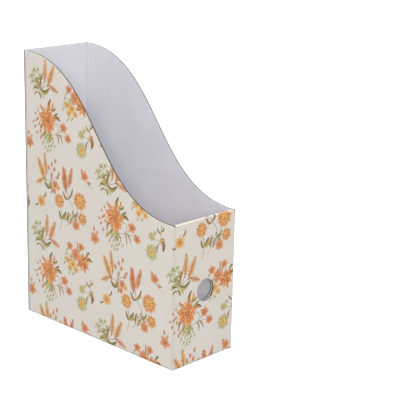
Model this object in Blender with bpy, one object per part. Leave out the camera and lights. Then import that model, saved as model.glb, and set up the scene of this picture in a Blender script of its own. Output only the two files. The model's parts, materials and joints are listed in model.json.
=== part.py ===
"""Folded cardboard magazine file, printed outside and white inside.

One die-cut sheet of fine-flute corrugated board, folded into a sleeve and closed with one glue line.
Every panel and flap of the sheet is its own object, and so is every crease strip that stays folded. A
crease that moves is a hinge: its axis lies in the inner corner of the fold, and the two pieces stop just
short of it. Metres, +Z up, standing on z = 0. The low front faces -Y, the tall back faces +Y, and the
side wall with the glued seam is the one at -X.
"""
import math

import bmesh
import bpy
from mathutils import Matrix, Vector

MM = 0.001

# Driving dimensions, in millimetres
WIDTH = 96.0                # across the outside of the two side walls
DEPTH = 249.0               # from the outside of the front to the outside of the back
HEIGHT = 320.0              # top of the back
FRONT_HEIGHT = 164.0        # top of the front
BOARD = 1.6                 # thickness of the board
FOLD_RADIUS = 2.0           # outer radius of a crease that stays folded
GAP = 0.3                   # clearance between neighbouring pieces
GLUE = 0.2                  # thickness of the glue line
GLUE_GAP = 0.05             # clearance on each side of the glue line

RIM_FLAT_FRONT = 3.0        # level stretch of the rim behind the front
RIM_FLAT_BACK = 3.0         # level stretch of the rim before the back
RIM_EASE = 123.5            # how far the rim's two tangents reach
RIM_STEPS = 28
NOTCH_DEPTH = 5.0           # rounded notch in the rear top corner of the left wall
NOTCH_DROP = 9.5
NOTCH_STEPS = 6

HOLE_DIAMETER = 26.0        # finger hole through both layers of the front
HOLE_HEIGHT = 81.5
HOLE_SIDES = 32

BAND_DEPTH = 6.0            # overall depth of the rolled top of the front
BAND_INSET = 2.5            # the band ends this far inside the outer faces of the side walls
INNER_INSET = 3.0           # the same for the inner front panel
INNER_LENGTH = 150.0        # how far the inner front panel reaches down

GLUE_FLAP_WIDTH = 30.0
GLUE_FLAP_SLOPE = 12.0      # the flap's free edge is shorter than its crease by this much at each end
GLUE_INSET = 3.0            # the glue stays this far from the flap's crease and free edge

BOTTOM_SIDE_CLEARANCE = 6.5     # bottom panel to the inside of the front and of the back
TAB_CLEARANCE = 1.6             # tuck tab to the inside of the right wall
TAB_HEIGHT = 14.0
TAB_TAPER = 10.0                # the tab is narrower than the bottom panel by this much at each end
DUST_FLAP_LENGTH = 45.0
DUST_FLAP_LIFT = 2.0            # the dust flaps rest on the bottom panel
DUST_FLAP_STEP = (1.0, 4.5)     # where the flap starts and ends its rise, from its crease
DUST_FLAP_CHAMFER = 3.0         # start of the 45 degree cut beside the left wall
DUST_TAB_CLEARANCE = 1.6        # dust flap to the tuck tab

ARC_STEPS = 6

# Places worked out from the driving dimensions
X_OUT = WIDTH / 2
X_IN = X_OUT - BOARD
Y_OUT = DEPTH / 2
Y_IN = Y_OUT - BOARD
FLAP_OUT = Y_IN - 2 * GLUE_GAP - GLUE       # outer face of the glue flap
BAND_LEVEL = FRONT_HEIGHT - BOARD           # under side of the band
INNER_FACE = -Y_OUT + BAND_DEPTH            # face of the inner front panel towards the magazines
INNER_CREASE = INNER_FACE - BOARD
BOTTOM_LEVEL = BOARD + GAP                  # lowest edge of a wall that carries a bottom flap
TAB_IN = X_IN - TAB_CLEARANCE - BOARD       # inner face of the tuck tab

# Surface values: colour, roughness
PRINTED = ((0.80, 0.77, 0.72, 1.0), 0.62)
CREASE = ((0.82, 0.79, 0.74, 1.0), 0.6)
DRIED_GLUE = ((0.75, 0.68, 0.50, 1.0), 0.35)


def clear_scene():
    for item in list(bpy.data.objects):
        bpy.data.objects.remove(item, do_unlink=True)


def make_material(name, look):
    colour, roughness = look
    material = bpy.data.materials.new(name)
    material.use_nodes = True
    shader = material.node_tree.nodes["Principled BSDF"]
    shader.inputs["Base Color"].default_value = colour
    shader.inputs["Roughness"].default_value = roughness
    shader.inputs["Metallic"].default_value = 0.0
    material.diffuse_color = colour
    return material


def add_object(name, mesh, look, parent=None):
    """Link the mesh as a named object with its own material; a parent empty sits on the joint's axis."""
    mesh.materials.append(make_material(name + "_surface", look))
    item = bpy.data.objects.new(name, mesh)
    bpy.context.scene.collection.objects.link(item)
    if parent is not None:
        item.data.transform(Matrix.Translation(-parent.location))
        item.parent = parent
    return item


def prism(name, outline, axis, low, high):
    """A flat piece: an outline in the two other axes, in millimetres, extruded along one axis."""
    mesh = bpy.data.meshes.new(name)
    shape = bmesh.new()

    def place(first, second, along):
        if axis == "X":
            return Vector((along, first, second)) * MM
        if axis == "Y":
            return Vector((first, along, second)) * MM
        return Vector((first, second, along)) * MM

    bottom = [shape.verts.new(place(a, b, low)) for a, b in outline]
    face = shape.faces.new(bottom)
    result = bmesh.ops.extrude_face_region(shape, geom=[face])
    moved = [part for part in result["geom"] if isinstance(part, bmesh.types.BMVert)]
    bmesh.ops.translate(shape, verts=moved, vec=place(0.0, 0.0, high - low))
    bmesh.ops.recalc_face_normals(shape, faces=shape.faces)
    shape.to_mesh(mesh)
    shape.free()
    return mesh


def arc(centre, radius, start, end, steps=ARC_STEPS):
    """Points on an arc, from one angle to another in degrees."""
    points = []
    for step in range(steps + 1):
        angle = math.radians(start + (end - start) * step / steps)
        points.append((centre[0] + radius * math.cos(angle), centre[1] + radius * math.sin(angle)))
    return points


def fold_section(centre, start, end):
    """Section of a crease strip: a quarter ring as thick as the board."""
    return arc(centre, FOLD_RADIUS, start, end) + arc(centre, FOLD_RADIUS - BOARD, end, start)


def hinge(name, place):
    """An empty on a joint's axis."""
    empty = bpy.data.objects.new(name, None)
    empty.empty_display_size = 0.01
    empty.location = Vector(place) * MM
    bpy.context.scene.collection.objects.link(empty)
    return empty


def rim_curve():
    """The S-shaped rim from front to back, as (y, z): one cubic curve, level at both ends."""
    start = (-Y_OUT + RIM_FLAT_FRONT, FRONT_HEIGHT)
    end = (Y_OUT - RIM_FLAT_BACK, HEIGHT)
    handles = (start, (start[0] + RIM_EASE, start[1]), (end[0] - RIM_EASE, end[1]), end)
    points = []
    for step in range(RIM_STEPS + 1):
        t = step / RIM_STEPS
        weights = ((1 - t) ** 3, 3 * t * (1 - t) ** 2, 3 * t * t * (1 - t), t ** 3)
        points.append(tuple(sum(w * p[i] for w, p in zip(weights, handles)) for i in range(2)))
    return points


def notch_curve(rear):
    """The rounded notch at the rear top corner of the left wall, from the top down."""
    points = []
    for step in range(NOTCH_STEPS + 1):
        angle = math.radians(90.0 * step / NOTCH_STEPS)
        points.append((rear - NOTCH_DEPTH * math.cos(angle), HEIGHT - NOTCH_DROP * math.sin(angle)))
    return points


def side_walls():
    front = -Y_OUT + FOLD_RADIUS + GAP
    left_rear = FLAP_OUT - FOLD_RADIUS - GAP
    right_rear = Y_OUT - FOLD_RADIUS - GAP
    rim = rim_curve()

    notch = notch_curve(left_rear)
    left = [(front, BOTTOM_LEVEL), (front, FRONT_HEIGHT)] + [p for p in rim if p[0] < notch[0][0] - 1.0] + notch
    left.append((left_rear, BOTTOM_LEVEL))
    add_object("left_side_panel", prism("left_side_panel", left, "X", -X_OUT, -X_IN), PRINTED)

    right = [(front, 0.0), (front, FRONT_HEIGHT)] + rim + [(right_rear, HEIGHT), (right_rear, 0.0)]
    add_object("right_side_panel", prism("right_side_panel", right, "X", X_IN, X_OUT), PRINTED)


def finger_hole_cutter(name, along, parent=None):
    """A round bar through one layer of the front; it only cuts and isn't part of the model."""
    outline = arc((0.0, HOLE_HEIGHT), HOLE_DIAMETER / 2, 0.0, 360.0, HOLE_SIDES)[:-1]
    cutter = add_object(name, prism(name, outline, "Y", along[0], along[1]), CREASE, parent)
    cutter.hide_render = True
    cutter.display_type = "WIRE"
    return cutter


def cut(item, cutter):
    modifier = item.modifiers.new("finger_hole", "BOOLEAN")
    modifier.operation = "DIFFERENCE"
    modifier.object = cutter


def front_and_back():
    side = X_OUT - FOLD_RADIUS - GAP
    low, high = BOTTOM_LEVEL, BAND_LEVEL - GAP
    outline = [(-side, low), (side, low), (side, high), (-side, high)]
    front = add_object("front_panel", prism("front_panel", outline, "Y", -Y_OUT, -Y_IN), PRINTED)
    cut(front, finger_hole_cutter("front_hole_cutter", (-Y_OUT - BOARD, -Y_IN + BOARD / 2)))

    outline = [(-X_OUT, low), (side, low), (side, HEIGHT), (-X_OUT, HEIGHT)]
    add_object("back_panel", prism("back_panel", outline, "Y", Y_IN, Y_OUT), PRINTED)


def upright_folds():
    """The four crease strips between the walls, each a quarter ring standing on its end."""
    side = X_OUT - FOLD_RADIUS
    near = -Y_OUT + FOLD_RADIUS
    front_top = BAND_LEVEL - GAP
    notched_top = HEIGHT - NOTCH_DROP - GAP
    strips = (
        ("front_left_fold", (-side, near), 180.0, front_top),
        ("front_right_fold", (side, near), 270.0, front_top),
        ("back_right_fold", (side, Y_OUT - FOLD_RADIUS), 0.0, HEIGHT),
        ("back_left_fold", (-side, FLAP_OUT - FOLD_RADIUS), 90.0, notched_top),
    )
    for name, centre, start, top in strips:
        section = fold_section(centre, start, start + 90.0)
        add_object(name, prism(name, section, "Z", BOTTOM_LEVEL, top), CREASE)


def glue_joint():
    """The glue flap behind the left wall, and the glue that holds the back panel on it."""
    crease = -X_OUT + FOLD_RADIUS + GAP
    free = crease + GLUE_FLAP_WIDTH
    low, high = BOTTOM_LEVEL + DUST_FLAP_LIFT + BOARD, HEIGHT - NOTCH_DROP - GAP
    flap = [(crease, low), (free, low + GLUE_FLAP_SLOPE), (free, high - GLUE_FLAP_SLOPE), (crease, high)]
    add_object("glue_flap", prism("glue_flap", flap, "Y", FLAP_OUT - BOARD, FLAP_OUT), PRINTED)

    near, far = crease + GLUE_INSET, free - GLUE_INSET
    line = [
        (near, low + GLUE_FLAP_SLOPE),
        (far, low + 2 * GLUE_FLAP_SLOPE),
        (far, high - 2 * GLUE_FLAP_SLOPE),
        (near, high - GLUE_FLAP_SLOPE),
    ]
    glue_low = FLAP_OUT + GLUE_GAP
    add_object("glue_seam", prism("glue_seam", line, "Y", glue_low, glue_low + GLUE), DRIED_GLUE)


def rolled_front():
    """The band over the top of the front, and the second layer that hangs from it inside."""
    band_axis = hinge("band_hinge", (0.0, -Y_IN, BAND_LEVEL))
    side = X_OUT - BAND_INSET
    low, high = -Y_IN + GAP, INNER_CREASE - GAP
    outline = [(-side, low), (side, low), (side, high), (-side, high)]
    mesh = prism("front_top_band", outline, "Z", BAND_LEVEL, FRONT_HEIGHT)
    add_object("front_top_band", mesh, CREASE, band_axis)

    inner_axis = hinge("inner_front_hinge", (0.0, INNER_CREASE, BAND_LEVEL))
    side = X_OUT - INNER_INSET
    top = BAND_LEVEL - GAP
    foot = top - INNER_LENGTH
    outline = [(-side, foot), (side, foot), (side, top), (-side, top)]
    mesh = prism("inner_front_panel", outline, "Y", INNER_CREASE, INNER_FACE)
    panel = add_object("inner_front_panel", mesh, PRINTED, inner_axis)
    reach = (INNER_CREASE - BOARD / 2, INNER_FACE + BOARD)
    cut(panel, finger_hole_cutter("inner_hole_cutter", reach, inner_axis))


def bottom_closure():
    """The bottom panel hinged at the foot of the left wall, and the tuck tab hinged at its far side."""
    axis = hinge("bottom_hinge", (-X_IN, 0.0, BOARD))
    end = Y_IN - BOTTOM_SIDE_CLEARANCE
    left, right = -X_IN + GAP, TAB_IN - GAP
    outline = [(left, -end), (right, -end), (right, end), (left, end)]
    add_object("bottom_panel", prism("bottom_panel", outline, "Z", 0.0, BOARD), PRINTED, axis)

    tab_axis = hinge("tuck_hinge", (TAB_IN, 0.0, BOARD))
    low = BOARD + GAP
    outline = [(-end, low), (end, low), (end - TAB_TAPER, TAB_HEIGHT), (-end + TAB_TAPER, TAB_HEIGHT)]
    mesh = prism("tuck_tab", outline, "X", TAB_IN, TAB_IN + BOARD)
    add_object("tuck_tab", mesh, PRINTED, tab_axis)


def dust_flap(name, side):
    """A bottom flap at the foot of the front (side -1) or of the back (side +1).

    It steps up over the bottom panel, and its left end is cut at 45 degrees, so that it and the bottom
    panel can turn down together.
    """
    rise_start, rise_end = DUST_FLAP_STEP
    lift, length = DUST_FLAP_LIFT, DUST_FLAP_LENGTH
    under = [(GAP, 0.0), (rise_start, 0.0), (rise_end, lift), (length, lift)]
    over = [(reach, level + BOARD) for reach, level in reversed(under)]
    outline = [(side * (Y_IN - reach), level) for reach, level in under + over]
    right = TAB_IN - DUST_TAB_CLEARANCE
    left = -X_IN + DUST_FLAP_CHAMFER
    mesh = prism(name, outline, "X", left, right)
    for vertex in mesh.vertices:
        if vertex.co.x < 0.0:
            reach = Y_IN - abs(vertex.co.y) / MM
            vertex.co.x += reach * MM
    axis = hinge(name + "_hinge", (0.0, side * Y_IN, BOARD))
    add_object(name, mesh, PRINTED, axis)


def build():
    clear_scene()
    side_walls()
    front_and_back()
    upright_folds()
    glue_joint()
    rolled_front()
    bottom_closure()
    dust_flap("front_dust_flap", -1)
    dust_flap("back_dust_flap", 1)


build()
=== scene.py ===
"""Looks of the folded cardboard magazine file.

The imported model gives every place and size. Each panel is rebuilt here as corrugated board: a printed outer
liner, fluted core paper and a white inner liner, with open flutes at the cut edges. Lengths are in
millimetres until place() functions turn them into metres.
"""
import json
import math

import bpy
import numpy as np
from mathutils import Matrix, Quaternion, Vector
from mathutils.geometry import delaunay_2d_cdt

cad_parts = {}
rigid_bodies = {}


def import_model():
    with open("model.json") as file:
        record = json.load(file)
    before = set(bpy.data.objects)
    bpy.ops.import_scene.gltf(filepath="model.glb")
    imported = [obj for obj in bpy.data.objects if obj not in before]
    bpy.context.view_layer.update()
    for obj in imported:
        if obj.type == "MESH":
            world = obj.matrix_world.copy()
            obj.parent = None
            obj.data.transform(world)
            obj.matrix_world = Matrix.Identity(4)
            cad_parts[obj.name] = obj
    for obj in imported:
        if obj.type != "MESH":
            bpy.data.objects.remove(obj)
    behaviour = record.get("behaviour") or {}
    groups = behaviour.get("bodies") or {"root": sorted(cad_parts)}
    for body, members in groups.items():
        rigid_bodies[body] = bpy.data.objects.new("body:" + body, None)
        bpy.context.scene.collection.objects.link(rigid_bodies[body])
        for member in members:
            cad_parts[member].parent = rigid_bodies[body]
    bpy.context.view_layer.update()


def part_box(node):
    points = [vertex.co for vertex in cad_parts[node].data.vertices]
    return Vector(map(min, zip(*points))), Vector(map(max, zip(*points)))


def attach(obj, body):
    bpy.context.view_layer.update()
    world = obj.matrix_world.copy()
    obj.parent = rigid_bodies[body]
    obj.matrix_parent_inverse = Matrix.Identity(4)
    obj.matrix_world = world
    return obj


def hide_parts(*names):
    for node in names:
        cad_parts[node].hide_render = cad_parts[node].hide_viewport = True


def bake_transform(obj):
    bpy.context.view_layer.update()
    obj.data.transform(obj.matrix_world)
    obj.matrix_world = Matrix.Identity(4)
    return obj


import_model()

MM = 0.001
X, Y, Z = Vector((1, 0, 0)), Vector((0, 1, 0)), Vector((0, 0, 1))


# ---- sizes, read from the imported model

def box(node):
    low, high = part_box(node)
    return Vector(low) / MM, Vector(high) / MM


left_low, left_high = box("left_side_panel")
_, right_high = box("right_side_panel")
front_low, front_high = box("front_panel")
back_low, back_high = box("back_panel")
fold_low, fold_high = box("front_left_fold")
flap_low, flap_high = box("glue_flap")
band_low, band_high = box("front_top_band")
inner_low, inner_high = box("inner_front_panel")
bottom_low, bottom_high = box("bottom_panel")
_, tab_high = box("tuck_tab")
dust_low, dust_high = box("front_dust_flap")

BOARD = left_high.x - left_low.x
X_OUT = right_high.x
Y_OUT, Y_IN = back_high.y, back_low.y
HEIGHT, FRONT_HEIGHT = left_high.z, band_high.z
FOLD = fold_high.x - fold_low.x  # outer radius of a crease that stays folded
GAP = band_low.y + Y_IN  # a moving panel stops this far from its hinge axis
BEND = BOARD + GAP  # outer radius of a crease that moves

# Shape of the board
LINER = 0.28  # thickness of each liner
FLUTE_PITCH = 3.3
FLUTE_PAPER = 0.16
FLUTE_STEPS = 10
EDGE_ROLL = 0.8  # width of the crushed border along a cut
EDGE_SINK = 0.14  # how far the liner is pressed in at the cut
CREASE_WEAR_AND_SHADE = 0.85  # the print on a crease is this much darker: partly dulled by the crushing, partly painted shade against the brighter curve of the fold
CORE_INSET = 0.35  # the core stands back from the cut by this much
BORDER_ROWS = (0.45, 1.0)  # rows of mesh points inside a cut, in parts of EDGE_ROLL
BORDER_LEAST = 0.4  # and no point of them nearer to a cut than this
GRID_LEAST, ROW_LEAST = 3.0, 1.2  # the same for the points over a panel, plain or stepped
GRID = 9.0  # mesh points over a panel are this far apart
ROW_GRID = 3.0  # and this far along the rows where it is stepped
OUTLINE_STEP = 5.0
HOLE_SIDES = 56
CREASE_STEPS = 8
DUST_ROWS = 8  # rows of mesh points over the step of a dust flap
SHARP_ANGLE = 40.0  # degrees
FAR = 1e9  # a distance beyond every size here
SAME = 1e-3  # places closer than this are one place
MERGE = 1e-4  # the same, inside the tessellation
ROW_CLEAR = 0.1  # a flute shorter than the step keeps this far from its rows

# The S-shaped rim and the notch, as in the CAD source
RIM_START = -Y_OUT + 3.0
RIM_END = Y_OUT - 3.0
RIM_EASE = 123.5
RIM_STEPS = 72
NOTCH_DEPTH = 5.0
NOTCH_DROP = 9.5
NOTCH_STEPS = 8
HOLE_RADIUS = 13.0
HOLE_HEIGHT = 81.5
GLUE_FLAP_SLOPE = 12.0
TAB_TAPER = 10.0
DUST_STEP = (1.0, 4.5)

# How the real board strays from the drawing
HOLE_SLIP = (1.4, 2.0)  # the outer and the inner hole sit this far to the right
INNER_LEAN = 1.2  # the foot of the inner front leans this far towards the front
SCORE_SHADE_WIDTH = 0.7  # half width of the painted shade along a pressed line in the white liner

# The print runs along the walls: left, front, right, back
U_FRONT = 2 * Y_OUT
U_RIGHT = U_FRONT + 2 * X_OUT
U_BACK = U_RIGHT + 2 * Y_OUT
SCORE_SHADE_LINES = (U_BACK - 8.6, U_BACK - 3.0)  # two pressed lines inside, beside the rear right corner, drawn as painted shade in the liner


# ---- colours

def linear(red, green, blue):
    """An ordinary 0..255 colour as linear light."""
    parts = []
    for value in (red, green, blue):
        value /= 255.0
        parts.append(value / 12.92 if value <= 0.04045 else ((value + 0.055) / 1.055) ** 2.4)
    return tuple(parts)


GROUND = linear(229, 222, 212)
REDS = (linear(140, 44, 18), linear(212, 94, 42), linear(246, 172, 108))  # deep, middle, pale
CORALS = (linear(148, 54, 24), linear(220, 112, 60), linear(248, 188, 136))
ORANGES = (linear(160, 72, 22), linear(228, 134, 58), linear(250, 204, 136))
AMBERS = (linear(170, 100, 32), linear(234, 164, 68), linear(252, 222, 148))
GOLDS = (linear(138, 112, 48), linear(204, 170, 90), linear(230, 214, 152))
GREENS = (linear(96, 84, 40), linear(158, 142, 80), linear(208, 194, 134))
BROWNS = (linear(110, 76, 38), linear(166, 128, 76), linear(214, 180, 124))
MINTS = (linear(142, 136, 78), linear(196, 190, 134), linear(226, 220, 176))
STEM = linear(146, 120, 78)
# kraft brown, darkened with painted shade of the open flutes
KRAFT_AND_FLUTE_SHADE = linear(80, 62, 47)
WHITE_LINER = linear(226, 225, 230)


# ---- drawing the print

CURVE_STEPS = 4
TOUCHING = 0.02  # points of an outline that are closer than this become one
INKED = []  # the shapes of the motif that is being drawn, in painting order


class Shape:
    """One inked area: an outline and a colour that runs from one point to another."""

    def __init__(self, points, start, end, near, far):
        self.points = points
        self.start, self.end = start, end
        self.near, self.far = near, far
        xs, ys = [p[0] for p in points], [p[1] for p in points]
        self.low, self.high = (min(xs), min(ys)), (max(xs), max(ys))

    def moved(self, dx, dy):
        shift = lambda p: (p[0] + dx, p[1] + dy)
        points = [shift(p) for p in self.points]
        return Shape(points, shift(self.start), shift(self.end), self.near, self.far)

    def colour(self, x, y):
        ax, ay = self.end[0] - self.start[0], self.end[1] - self.start[1]
        length = ax * ax + ay * ay
        t = ((x - self.start[0]) * ax + (y - self.start[1]) * ay) / length if length else 0.0
        t = min(1.0, max(0.0, t))
        return tuple(a + (b - a) * t for a, b in zip(self.near, self.far))


def pairs(loop):
    """Every point of a closed loop with the next one."""
    return list(zip(loop, loop[1:] + loop[:1]))


def polar(origin, angle, length):
    turn = math.radians(angle)
    return (origin[0] + length * math.cos(turn), origin[1] + length * math.sin(turn))


def curve(points):
    """A smooth path through a few points."""
    if len(points) == 2:
        return list(points)
    ends = [points[0]] + list(points) + [points[-1]]
    path = []
    for a, b, c, d in zip(ends, ends[1:], ends[2:], ends[3:]):
        for step in range(CURVE_STEPS):
            t = step / CURVE_STEPS
            path.append(tuple(
                0.5 * (2 * b[i] + (c[i] - a[i]) * t + (2 * a[i] - 5 * b[i] + 4 * c[i] - d[i]) * t * t
                       + (3 * b[i] - a[i] - 3 * c[i] + d[i]) * t ** 3)
                for i in range(2)))
    path.append(tuple(points[-1]))
    return path


def ribbon(path, half_width, near, far, side=0):
    """A band along a path; half_width(t) is its half width. side -1 or 1 gives only that half."""
    left, right = [], []
    last = len(path) - 1
    for i, (x, y) in enumerate(path):
        ax, ay = path[max(0, i - 1)]
        bx, by = path[min(last, i + 1)]
        length = math.hypot(bx - ax, by - ay) or 1.0
        nx, ny = -(by - ay) / length, (bx - ax) / length
        for border, sign in ((left, 1), (right, -1)):
            reach = 0.0 if side == -sign else sign * half_width(i / last)
            border.append((x + nx * reach, y + ny * reach))
    points = []
    for point in left + right[::-1]:
        if not points or math.dist(point, points[-1]) > TOUCHING:
            points.append(point)
    if math.dist(points[0], points[-1]) < TOUCHING:
        points.pop()
    INKED.append(Shape(points, path[0], path[-1], near, far))


def stem(points, width=0.7, colour=STEM):
    ribbon(curve(points), lambda t: width / 2 * (1.0 - 0.5 * t), colour, colour)


def leaf(points, width, tones):
    """A pointed leaf along a path, its two halves in different tones."""
    deep, middle, pale = tones
    path = curve(points)
    belly = lambda t: 0.54 * width * math.sin(math.pi * t ** 0.8) ** 0.85
    ribbon(path, belly, middle, deep, 1)
    ribbon(path, belly, pale, middle, -1)
    ribbon(path, lambda t: 0.22 * (1 - t) + 0.04, deep, deep)


def mixed(first, second, share):
    """A colour with this share of the first and the rest of the second."""
    return tuple(share * a + (1.0 - share) * b for a, b in zip(first, second))


def petal(root, angle, length, width, tones, blunt=0.9):
    """A petal: dark root, pale tip, coloured outline, and on a large one a pale and a dark streak."""
    deep, middle, pale = tones
    large = length > 7
    steps = 6 if length > 5 else 4
    line = 0.48 if large else 0.34 if length > 4 else 0.2
    for grow, near, far in ((0.0, deep, mixed(deep, middle, 0.15)), (-line, mixed(deep, middle, 0.45), pale)):
        base = polar(root, angle, -0.4 * grow)
        path = [polar(base, angle, (length + grow) * i / steps) for i in range(steps + 1)]
        half = lambda t, g=grow: max(0.03, width / 2 * math.sin(math.pi * t ** blunt) ** 0.75 + g)
        ribbon(path, half, near, far)
    if large:
        for spread, tone, share in ((-1, pale, 0.6), (1, deep, 0.5)):
            foot = polar(root, angle + 20 * spread, 0.15 * length)
            halfway = polar(foot, angle + 4 * spread, 0.3 * length)
            tip = polar(foot, angle + 2 * spread, share * length)
            ribbon([foot, halfway, tip], lambda t: 0.3 * (1 - t) + 0.04, tone, tone)


def dot(centre, radius, tones, sides=7):
    """A bead or berry, lighter above."""
    ring = [polar(centre, 360.0 * i / sides, radius) for i in range(sides)]
    INKED.append(Shape(ring, polar(centre, 110, radius), polar(centre, 290, radius), tones[2], tones[0]))


def bud(root, angle, length, tones):
    """A closed bud in its green cup."""
    petal(root, angle, length * 1.1, length * 0.7, tones, 0.8)
    petal(polar(root, angle, -0.12 * length), angle, length * 0.42, length * 0.55, BROWNS, 0.7)


def blossom(centre, radius, count, turn, tones, heart=AMBERS, width=0.7):
    """A small open flower with a dark middle and a ring of stamens."""
    for i in range(count):
        angle = turn + 360.0 * i / count
        reach = radius * (0.92 + 0.12 * ((i * 2) % 3) / 2)
        petal(polar(centre, angle, radius * 0.08), angle, reach, radius * width, tones, 1.15)
    dot(centre, radius * 0.24, (tones[0], tones[0], tones[1]), 8)
    for i in range(count):
        stamen = polar(centre, turn + 360.0 * (i + 0.5) / count, radius * 0.34)
        dot(stamen, radius * 0.09, heart, 5)
    dot(centre, radius * 0.12, heart, 6)


def spike(root, angle, length, width, tones, accent):
    """A flower spike: pairs of florets up a stalk, smaller towards the tip, each with a bead at its end."""
    stem([polar(root, angle, -length * 0.15), polar(root, angle, length)], width * 0.2)
    rows = max(5, round(length / 3.1))
    bead = 3 * (tones[1],)
    for row in range(rows):
        t = row / rows
        size = width * (0.66 - 0.34 * t) * (0.66 + 0.56 * min(1.0, 4 * t))
        spot = polar(root, angle, length * t)
        for side in (-1, 1):
            turn = angle + side * (60 - 18 * t)
            foot = polar(spot, angle, side * 0.6)
            petal(foot, turn, size, size * 0.56, tones if (row + (side > 0)) % 3 else accent, 1.0)
            dot(polar(foot, turn, size * 0.9), 0.1 * width * (1 - 0.4 * t), bead, 5)
        dot(polar(spot, angle, 0.4), 0.09 * width, (accent[0], accent[0], accent[1]), 5)
    petal(polar(root, angle, length * 0.93), angle, width * 0.42, width * 0.22, tones)


def daisy(centre, radius, turn, tones, heart, count=14):
    """A flower with three rings of narrow ragged petals and dark rays round a beaded eye."""
    for ring, share, kind in ((0, 1.08, tones), (1, 0.86, tones), (2, 0.56, heart)):
        number = count - 2 * ring
        for i in range(number):
            angle = turn + 12 * ring + 360.0 * i / number
            reach = radius * share * (0.8 + 0.14 * (i % 2))
            width = radius * (0.27 - 0.04 * ring)
            petal(polar(centre, angle, radius * 0.12), angle, reach, width, kind, 1.3)
        if ring == 1:
            for i in range(9):
                ray = [polar(centre, turn + 40 * i, part * radius) for part in (0.3, 0.9)]
                stem(ray, 0.11 * radius, tones[0])
    dot(centre, radius * 0.3, (tones[0], tones[0], tones[1]), 10)
    dot(centre, radius * 0.24, (heart[1], heart[1], heart[2]), 8)
    for i in range(8):
        dot(polar(centre, 45 * i, radius * 0.4), radius * 0.09, (heart[1], heart[2], heart[2]), 5)
    dot(centre, radius * 0.1, 3 * (tones[0],), 6)


def spray(root, heads, tones, size):
    """Fine stalks from one point, each with a bead at its end and two smaller ones below it."""
    for i, head in enumerate(heads):
        halfway = ((root[0] + head[0]) / 2 + 0.8, (root[1] + head[1]) / 2 + 0.5)
        stem([root, halfway, head], 0.42, GREENS[1])
        dot(head, size * (1.1 - 0.12 * (i % 3)), tones, 6)
        dot((halfway[0] + 0.9, halfway[1] - 0.4), size * 0.7, GREENS, 5)
        dot((head[0] - 0.9 * size, head[1] - 1.3 * size), size * 0.62, tones, 5)
        dot(head, size * 0.36, (tones[0], tones[0], tones[1]), 4)


def lily_bouquet():
    """A large layered lily with buds, grass and a spray of seeds below it."""
    stem([(8, -2), (15, -2), (19, -8), (14, -14), (5, -16)], 0.8)
    leaf([(14, -14), (18, -18), (19, -27)], 2.0, BROWNS)
    leaf([(16, -13), (22, -16), (26, -24)], 2.0, BROWNS)
    stem([(18, -12), (24, -9), (27, -5)], 0.6)
    stem([(21, -14), (29, -14), (34, -16)], 0.6)
    heads = ((-6, -22), (-9, -27), (-2, -25), (3, -23), (-5, -32), (1, -30), (6, -28), (-1, -35), (9, -24),
             (-11, -20), (4, -34), (12, -28))
    spray((2, -13), heads, MINTS, 1.9)
    spray((0, -14), ((-4, -19), (3, -18), (7, -19), (0, -21), (-8, -17)), MINTS, 2.5)
    leaf([(0, -13), (2, -18), (1, -24)], 2.6, GOLDS)
    buds = ((-18, -2, 80), (-24, -12, 60), (-16, -8, 95), (-14, -16, 70), (-13, -24, 110), (-7, -16, 60),
            (-20, -19, 80), (-22, -4, 50), (-21, 4, 150), (-10, -20, 130), (-25, -5, 190), (-17, 8, 120))
    for i, (x, y, turn) in enumerate(buds):
        bud((x, y), turn, 4.2 if i < 8 else 3.6, CORALS)
    leaf([(4, 12), (2, 18), (6, 26)], 4.6, BROWNS)
    leaf([(6, 12), (9, 16), (9, 22)], 3.8, AMBERS)
    leaf([(-4, 10), (-10, 13), (-14, 17)], 2.6, ORANGES)
    leaf([(5, 12), (11, 13), (14, 17)], 3.0, GREENS)
    leaf([(10, 2), (16, 5), (22, 2)], 4.6, BROWNS)
    leaf([(9, 4), (14, 8), (18, 11)], 3.2, GREENS)
    leaf([(-8, -6), (-12, -8), (-13, -13)], 4.0, BROWNS)
    leaf([(-3, -11), (-6, -15), (-7, -20)], 2.6, GREENS)
    stem([(-9, 9), (-14, 13), (-18, 13)], 0.5)
    outer = ((12, 13, 5.2), (34, 11, 4.4), (58, 12, 4.6), (88, 16, 5.0), (112, 14, 5.4), (138, 13, 4.8),
             (160, 16, 6.2), (188, 14, 5.0), (212, 13, 4.8), (238, 13, 4.8), (264, 16, 5.6), (290, 14, 5.4),
             (314, 13, 5.4), (340, 12, 5.0))
    for i, (angle, length, width) in enumerate(outer):
        tones = ORANGES if i % 3 == 1 else REDS
        petal(polar((0, 0), angle, 1.0), angle, length * 1.06, width * 1.12, tones)
    for i, angle in enumerate((22, 62, 100, 138, 178, 214, 250, 284, 322)):
        length = 10.0 if i % 2 else 8.6
        petal(polar((0, 0), angle, 0.8), angle, length, 4.4, REDS if i % 3 else ORANGES)
    for i in range(6):
        turn = 45 + 60 * i
        petal(polar((0, 0), turn, 0.6), turn, 6.2, 3.4, CORALS if i % 2 else REDS)
    for i in range(6):
        tip = polar((0, 0), 15 + 60 * i, 4.6)
        stem([(0, 0), tip], 0.5, CORALS[0])
        dot(tip, 0.7, AMBERS, 5)
    dot((0, 0), 1.3, ORANGES)
    blossom((27, -5), 6.6, 5, 80, CORALS)
    blossom((35, -16), 5.8, 5, 55, CORALS)


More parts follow.
